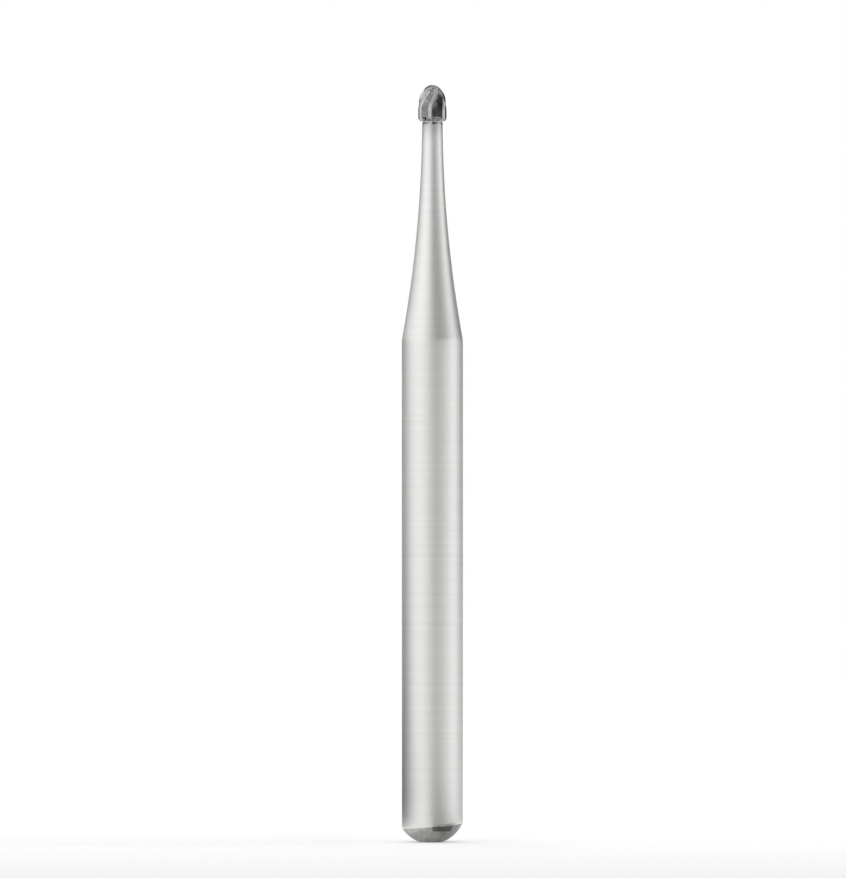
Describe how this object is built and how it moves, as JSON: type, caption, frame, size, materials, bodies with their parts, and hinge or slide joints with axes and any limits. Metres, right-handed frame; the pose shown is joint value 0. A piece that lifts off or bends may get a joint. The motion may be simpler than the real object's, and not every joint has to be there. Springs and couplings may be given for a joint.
{
  "type": "dental bur",
  "caption": "Slim metal dental bur: plain round shank with a domed end, hollow taper, thin neck and a small bullet-shaped head with helical cutting blades.",
  "frame": {"origin": "on the axis of the shank, in the plane of the small flat at the butt end", "axes": "+Z along the axis, from the butt end to the cutting tip; +X to the right and +Y away, as the picture sees it"},
  "size_m": [0.0016, 0.0016, 0.0198],
  "materials": {
    "ground_steel": "satin, finely ground round the shank, with darker ground gashes in the head"
  },
  "bodies": {
    "root": {"bur": "ground_steel"}
  },
  "joints": []
}
